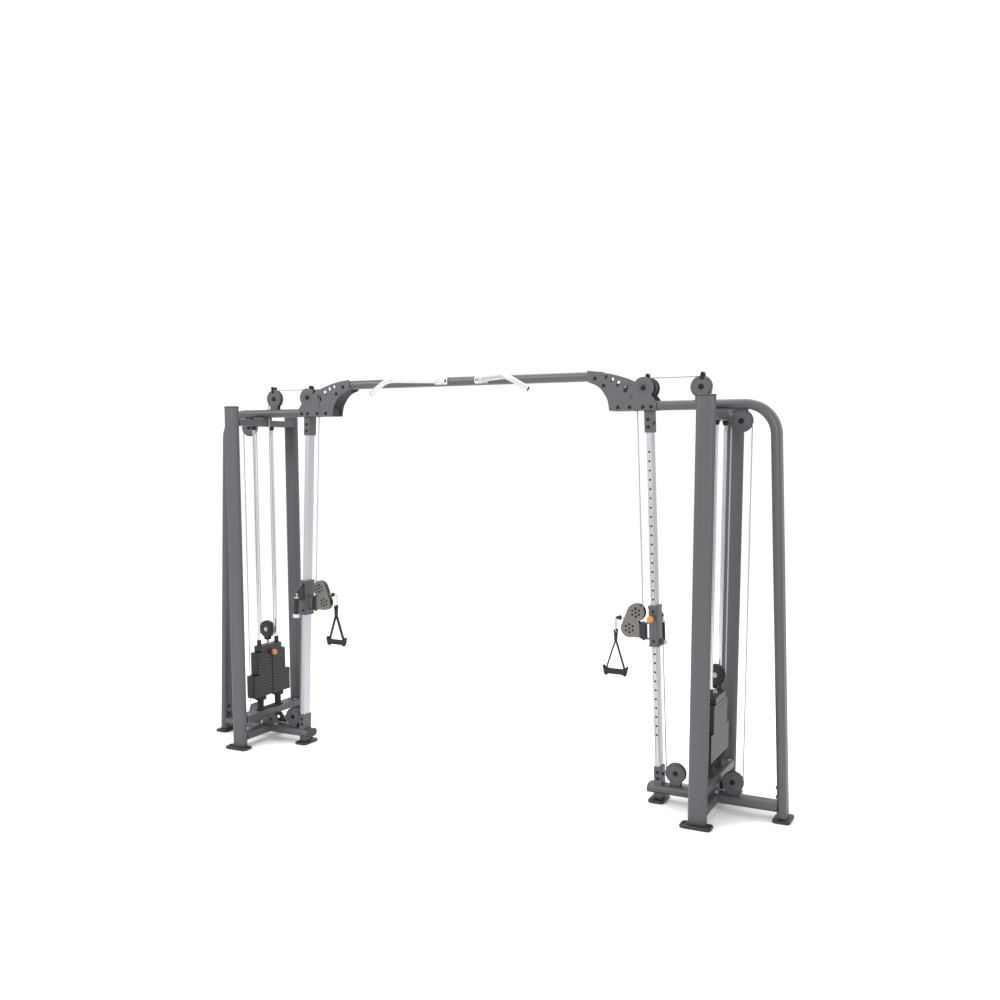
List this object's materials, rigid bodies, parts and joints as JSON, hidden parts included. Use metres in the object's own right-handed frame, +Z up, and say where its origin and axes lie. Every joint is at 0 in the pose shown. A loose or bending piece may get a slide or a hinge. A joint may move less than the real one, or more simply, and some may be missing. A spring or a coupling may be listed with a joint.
{
  "type": "cable crossover machine",
  "caption": "Dual-tower cable crossover: leaning adjustment columns with swivelling pulley carriages, weight stacks, top crossbar and pull-up handles.",
  "frame": {"origin": "on the floor at the middle of the machine, half way between the two towers", "axes": "+X along the crossbar to the right tower as seen from the front, -Y towards the user, +Z up"},
  "size_m": [3.8922, 0.712, 2.3655],
  "materials": {
    "frame_coat": "matt dark grey powder coat",
    "column_steel": "satin",
    "handle_steel": "bright satin",
    "rod_chrome": "polished",
    "plate_black": "satin black",
    "pulley_nylon": "satin",
    "housing_grey": "satin grey anodised",
    "rubber_black": "matt",
    "knob_orange": "semi-gloss",
    "cable_grey": "satin"
  },
  "bodies": {
    "frame": {"crossbar": "frame_coat", "right_front_upright": "frame_coat", "right_rear_upright": "frame_coat", "right_bent_tube": "frame_coat", "right_base_frame": "frame_coat", "right_top_rail": "frame_coat", "right_front_gusset": "frame_coat", "right_rear_gusset": "frame_coat", "right_front_rod": "rod_chrome", "right_rear_rod": "rod_chrome", "right_resting_plates": "plate_black", "right_bumpers": "rubber_black", "right_cable": "cable_grey", "right_pullup_handle": "handle_steel", "right_column": "column_steel", "left_front_upright": "frame_coat", "left_rear_upright": "frame_coat", "left_bent_tube": "frame_coat", "left_base_frame": "frame_coat", "left_top_rail": "frame_coat", "left_front_gusset": "frame_coat", "left_rear_gusset": "frame_coat", "left_front_rod": "rod_chrome", "left_rear_rod": "rod_chrome", "left_resting_plates": "plate_black", "left_bumpers": "rubber_black", "left_cable": "cable_grey", "left_pullup_handle": "handle_steel", "left_column": "column_steel"},
    "right_stack": {"right_stack_head": "plate_black"},
    "right_selector": {"right_selector_pin": "knob_orange"},
    "right_carriage": {"right_carriage": "frame_coat"},
    "right_pop_pin": {"right_pop_pin": "knob_orange"},
    "right_housing": {"right_swivel_housing": "housing_grey"},
    "right_cable_end": {"right_cable_stop": "rubber_black"},
    "right_handle": {"right_handle": "rubber_black"},
    "right_wheel_top_inner": {"right_pulley_top_inner": "pulley_nylon"},
    "right_wheel_top_outer": {"right_pulley_top_outer": "pulley_nylon"},
    "right_wheel_hanging": {"right_pulley_hanging": "pulley_nylon"},
    "right_wheel_base_outer": {"right_pulley_base_outer": "pulley_nylon"},
    "right_wheel_base_inner": {"right_pulley_base_inner": "pulley_nylon"},
    "right_wheel_stack": {"right_pulley_stack": "pulley_nylon"},
    "right_wheel_upper": {"right_pulley_upper": "pulley_nylon"},
    "right_wheel_lower": {"right_pulley_lower": "pulley_nylon"},
    "left_stack": {"left_stack_head": "plate_black"},
    "left_selector": {"left_selector_pin": "knob_orange"},
    "left_carriage": {"left_carriage": "frame_coat"},
    "left_pop_pin": {"left_pop_pin": "knob_orange"},
    "left_housing": {"left_swivel_housing": "housing_grey"},
    "left_cable_end": {"left_cable_stop": "rubber_black"},
    "left_handle": {"left_handle": "rubber_black"},
    "left_wheel_top_inner": {"left_pulley_top_inner": "pulley_nylon"},
    "left_wheel_top_outer": {"left_pulley_top_outer": "pulley_nylon"},
    "left_wheel_hanging": {"left_pulley_hanging": "pulley_nylon"},
    "left_wheel_base_outer": {"left_pulley_base_outer": "pulley_nylon"},
    "left_wheel_base_inner": {"left_pulley_base_inner": "pulley_nylon"},
    "left_wheel_stack": {"left_pulley_stack": "pulley_nylon"},
    "left_wheel_upper": {"left_pulley_upper": "pulley_nylon"},
    "left_wheel_lower": {"left_pulley_lower": "pulley_nylon"}
  },
  "joints": [
    {"name": "right_stack_lift", "type": "slide", "parent": "frame", "child": "right_stack", "axis": [0, 0, 1], "range_m": [0, 0.85], "deforming": ["right_cable"]},
    {"name": "right_selector_pull", "type": "slide", "parent": "right_stack", "child": "right_selector", "axis": [-1, 0, 0], "range_m": [0, 0.06]},
    {"name": "right_carriage_slide", "type": "slide", "parent": "frame", "child": "right_carriage", "axis": [-0.0443, 0, 0.999], "range_m": [-0.65, 0.89], "deforming": ["right_cable"]},
    {"name": "right_pin_pull", "type": "slide", "parent": "right_carriage", "child": "right_pop_pin", "axis": [0, -1, 0], "range_m": [0, 0.012], "stiffness_N_per_m": 400},
    {"name": "right_housing_swivel", "type": "hinge", "parent": "right_carriage", "child": "right_housing", "pos_m": [1.11294, 0, 1.02199], "axis": [-0.0443, 0, 0.999], "range_deg": [-90, 90], "deforming": ["right_cable"]},
    {"name": "right_handle_pull", "type": "slide", "parent": "right_housing", "child": "right_cable_end", "axis": [-1, 0, 0], "range_m": [0, 1.7]},
    {"name": "right_handle_swing", "type": "hinge", "parent": "right_cable_end", "child": "right_handle", "pos_m": [0.95515, 0, 0.93082], "axis": [0, -1, 0], "range_deg": [-50, 30]},
    {"name": "right_wheel_top_inner_spin", "type": "hinge", "parent": "frame", "child": "right_wheel_top_inner", "pos_m": [1.1119, 0, 2.264], "axis": [0, 1, 0], "continuous": true},
    {"name": "right_wheel_top_outer_spin", "type": "hinge", "parent": "frame", "child": "right_wheel_top_outer", "pos_m": [1.414, 0, 2.264], "axis": [0, 1, 0], "continuous": true},
    {"name": "right_wheel_hanging_spin", "type": "hinge", "parent": "frame", "child": "right_wheel_hanging", "pos_m": [1.63, 0, 2.083], "axis": [0, 1, 0], "continuous": true},
    {"name": "right_wheel_base_outer_spin", "type": "hinge", "parent": "frame", "child": "right_wheel_base_outer", "pos_m": [1.63, 0, 0.167], "axis": [0, 1, 0], "continuous": true},
    {"name": "right_wheel_base_inner_spin", "type": "hinge", "parent": "frame", "child": "right_wheel_base_inner", "pos_m": [1.31503, 0, 0.167], "axis": [0, 1, 0], "continuous": true},
    {"name": "right_wheel_stack_spin", "type": "hinge", "parent": "right_stack", "child": "right_wheel_stack", "pos_m": [1.522, 0, 0.7408], "axis": [0, 1, 0], "continuous": true},
    {"name": "right_wheel_upper_spin", "type": "hinge", "parent": "right_housing", "child": "right_wheel_upper", "pos_m": [1.07492, 0, 1.04432], "axis": [0, 1, 0], "continuous": true},
    {"name": "right_wheel_lower_spin", "type": "hinge", "parent": "right_housing", "child": "right_wheel_lower", "pos_m": [1.03985, 0, 0.95468], "axis": [0, 1, 0], "continuous": true},
    {"name": "left_stack_lift", "type": "slide", "parent": "frame", "child": "left_stack", "axis": [0, 0, 1], "range_m": [0, 0.85], "deforming": ["left_cable"]},
    {"name": "left_selector_pull", "type": "slide", "parent": "left_stack", "child": "left_selector", "axis": [1, 0, 0], "range_m": [0, 0.06]},
    {"name": "left_carriage_slide", "type": "slide", "parent": "frame", "child": "left_carriage", "axis": [0.0443, 0, 0.999], "range_m": [-0.65, 0.89], "deforming": ["left_cable"]},
    {"name": "left_pin_pull", "type": "slide", "parent": "left_carriage", "child": "left_pop_pin", "axis": [0, 1, 0], "range_m": [0, 0.012], "stiffness_N_per_m": 400},
    {"name": "left_housing_swivel", "type": "hinge", "parent": "left_carriage", "child": "left_housing", "pos_m": [-1.11294, 0, 1.02199], "axis": [-0.0443, 0, -0.999], "range_deg": [-90, 90], "deforming": ["left_cable"]},
    {"name": "left_handle_pull", "type": "slide", "parent": "left_housing", "child": "left_cable_end", "axis": [1, 0, 0], "range_m": [0, 1.7]},
    {"name": "left_handle_swing", "type": "hinge", "parent": "left_cable_end", "child": "left_handle", "pos_m": [-0.95515, 0, 0.93082], "axis": [0, 1, 0], "range_deg": [-50, 30]},
    {"name": "left_wheel_top_inner_spin", "type": "hinge", "parent": "frame", "child": "left_wheel_top_inner", "pos_m": [-1.1119, 0, 2.264], "axis": [0, 1, 0], "continuous": true},
    {"name": "left_wheel_top_outer_spin", "type": "hinge", "parent": "frame", "child": "left_wheel_top_outer", "pos_m": [-1.414, 0, 2.264], "axis": [0, 1, 0], "continuous": true},
    {"name": "left_wheel_hanging_spin", "type": "hinge", "parent": "frame", "child": "left_wheel_hanging", "pos_m": [-1.63, 0, 2.083], "axis": [0, 1, 0], "continuous": true},
    {"name": "left_wheel_base_outer_spin", "type": "hinge", "parent": "frame", "child": "left_wheel_base_outer", "pos_m": [-1.63, 0, 0.167], "axis": [0, 1, 0], "continuous": true},
    {"name": "left_wheel_base_inner_spin", "type": "hinge", "parent": "frame", "child": "left_wheel_base_inner", "pos_m": [-1.31503, 0, 0.167], "axis": [0, 1, 0], "continuous": true},
    {"name": "left_wheel_stack_spin", "type": "hinge", "parent": "left_stack", "child": "left_wheel_stack", "pos_m": [-1.522, 0, 0.7408], "axis": [0, 1, 0], "continuous": true},
    {"name": "left_wheel_upper_spin", "type": "hinge", "parent": "left_housing", "child": "left_wheel_upper", "pos_m": [-1.07492, 0, 1.04432], "axis": [0, 1, 0], "continuous": true},
    {"name": "left_wheel_lower_spin", "type": "hinge", "parent": "left_housing", "child": "left_wheel_lower", "pos_m": [-1.03985, 0, 0.95468], "axis": [0, 1, 0], "continuous": true}
  ],
  "couplings": [
    {"joint": "right_wheel_top_inner_spin", "follows": "right_stack_lift", "rad_per_m": -37.037},
    {"joint": "right_wheel_top_outer_spin", "follows": "right_stack_lift", "rad_per_m": -37.037},
    {"joint": "right_wheel_hanging_spin", "follows": "right_carriage_slide", "rad_per_m": 18.519},
    {"joint": "right_wheel_base_outer_spin", "follows": "right_carriage_slide", "rad_per_m": 18.519},
    {"joint": "right_wheel_base_inner_spin", "follows": "right_carriage_slide", "rad_per_m": 18.519},
    {"joint": "right_wheel_stack_spin", "follows": "right_stack_lift", "rad_per_m": 18.519},
    {"joint": "right_wheel_upper_spin", "follows": "right_stack_lift", "rad_per_m": 54.054},
    {"joint": "right_handle_pull", "follows": "right_stack_lift", "ratio": 2},
    {"joint": "left_wheel_top_inner_spin", "follows": "left_stack_lift", "rad_per_m": 37.037},
    {"joint": "left_wheel_top_outer_spin", "follows": "left_stack_lift", "rad_per_m": 37.037},
    {"joint": "left_wheel_hanging_spin", "follows": "left_carriage_slide", "rad_per_m": -18.519},
    {"joint": "left_wheel_base_outer_spin", "follows": "left_carriage_slide", "rad_per_m": -18.519},
    {"joint": "left_wheel_base_inner_spin", "follows": "left_carriage_slide", "rad_per_m": -18.519},
    {"joint": "left_wheel_stack_spin", "follows": "left_stack_lift", "rad_per_m": -18.519},
    {"joint": "left_wheel_upper_spin", "follows": "left_stack_lift", "rad_per_m": -54.054},
    {"joint": "left_handle_pull", "follows": "left_stack_lift", "ratio": 2}
  ]
}
